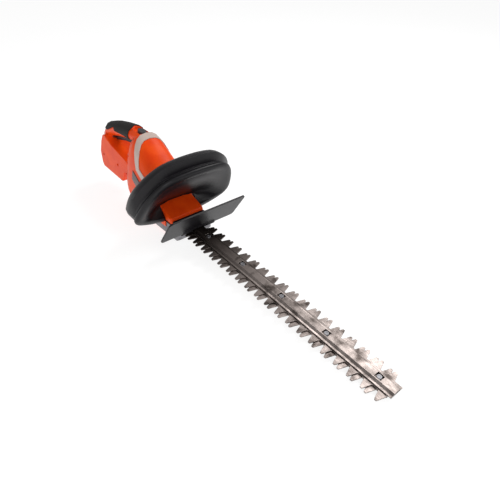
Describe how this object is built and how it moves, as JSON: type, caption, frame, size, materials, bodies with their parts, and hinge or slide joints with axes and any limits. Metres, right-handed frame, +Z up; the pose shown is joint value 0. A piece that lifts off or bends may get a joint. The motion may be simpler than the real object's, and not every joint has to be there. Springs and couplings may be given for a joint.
{
  "type": "cordless hedge trimmer",
  "caption": "Cordless hedge trimmer with a double-sided reciprocating blade, a blade guard, a looped rear handle with a trigger, and an arched front handle with a hand shield.",
  "frame": {"origin": "middle of the object's box, at the floor it rests on", "axes": "+X from the rear handle to the blade's tip, +Y to the user's left, +Z up. The tool stands on its belly and the last blade nut, so the blade points 3.4 degrees down"},
  "size_m": [0.8962, 0.238, 0.2033],
  "materials": {
    "orange_abs": "satin moulded ABS, fine grain",
    "black_nylon": "semi-gloss glass-filled nylon",
    "label_plastic": "blank dark name plate",
    "black_elastomer": "matt overmoulded elastomer",
    "silver_trim": "pale silver painted trim",
    "dark_grey_abs": "fine-grained dark grey",
    "blade_steel": "ground, slightly oiled blade steel",
    "turned_steel": "turned or pressed bright steel",
    "zinc": "zinc-plated or die-cast grey metal",
    "red_wire": "PVC insulation",
    "black_wire": "PVC insulation"
  },
  "bodies": {
    "housing": {"battery_contact_left": "zinc", "battery_contact_right": "zinc", "battery_rail_left": "zinc", "battery_rail_right": "zinc", "blade_bolt_1": "zinc", "blade_bolt_2": "zinc", "blade_bolt_3": "zinc", "blade_bolt_4": "zinc", "blade_bolt_5": "zinc", "blade_nut_1": "zinc", "blade_nut_2": "zinc", "blade_nut_3": "zinc", "blade_nut_4": "zinc", "blade_nut_5": "zinc", "blade_spine": "blade_steel", "case_screw_1": "turned_steel", "case_screw_2": "turned_steel", "case_screw_3": "turned_steel", "case_screw_4": "turned_steel", "case_screw_5": "turned_steel", "cover_screw_left": "turned_steel", "cover_screw_right": "turned_steel", "crank_bearing_lower": "turned_steel", "crank_bearing_upper": "turned_steel", "front_handle_grip": "black_nylon", "front_handle_shield": "black_nylon", "gear_case": "zinc", "gear_cover": "orange_abs", "grip_overmold": "black_elastomer", "guard": "black_nylon", "guard_screw_left": "turned_steel", "guard_screw_right": "turned_steel", "handle_bolt_left": "turned_steel", "handle_bolt_right": "turned_steel", "hood_cover": "orange_abs", "housing_left": "orange_abs", "housing_right": "orange_abs", "label_plate_left": "label_plastic", "label_plate_right": "label_plastic", "motor_can": "turned_steel", "motor_wire_black": "black_wire", "motor_wire_red": "red_wire", "supply_wire_black": "black_wire", "supply_wire_red": "red_wire", "switch_block": "dark_grey_abs", "terminal_block": "black_nylon", "trigger_pin": "turned_steel", "trim_band": "silver_trim"},
    "trigger": {"trigger": "black_nylon"},
    "lock_button": {"lock_button": "dark_grey_abs"},
    "upper_blade": {"upper_blade": "blade_steel"},
    "lower_blade": {"lower_blade": "blade_steel"},
    "crank": {"crank": "turned_steel", "drive_gear": "turned_steel"},
    "motor_rotor": {"motor_rotor": "turned_steel", "pinion": "turned_steel", "cooling_fan": "black_nylon"}
  },
  "joints": [
    {"name": "trigger_pivot", "type": "hinge", "parent": "housing", "child": "trigger", "pos_m": [-0.38883, 0, 0.1414], "axis": [0, -1, 0], "range_deg": [0, 4], "stiffness_Nm_per_rad": 2, "springref_deg": -5.73},
    {"name": "lock_button_press", "type": "slide", "parent": "housing", "child": "lock_button", "axis": [-0.0593, 0, -0.9982], "range_m": [0, 0.004], "stiffness_N_per_m": 400, "springref_m": -0.002},
    {"name": "upper_blade_stroke", "type": "slide", "parent": "housing", "child": "upper_blade", "axis": [0.9982, 0, -0.0593], "range_m": [-0.008, 0.008]},
    {"name": "lower_blade_stroke", "type": "slide", "parent": "housing", "child": "lower_blade", "axis": [0.9982, 0, -0.0593], "range_m": [-0.008, 0.008]},
    {"name": "crank_spin", "type": "hinge", "parent": "housing", "child": "crank", "pos_m": [-0.13841, 0, 0.03987], "axis": [0.0593, 0, 0.9982], "continuous": true},
    {"name": "motor_spin", "type": "hinge", "parent": "housing", "child": "motor_rotor", "pos_m": [-0.17396, 0, 0.07885], "axis": [0.0593, 0, 0.9982], "continuous": true}
  ],
  "couplings": [
    {"joint": "lower_blade_stroke", "follows": "upper_blade_stroke", "ratio": -1},
    {"joint": "motor_spin", "follows": "crank_spin", "ratio": -4.4}
  ]
}
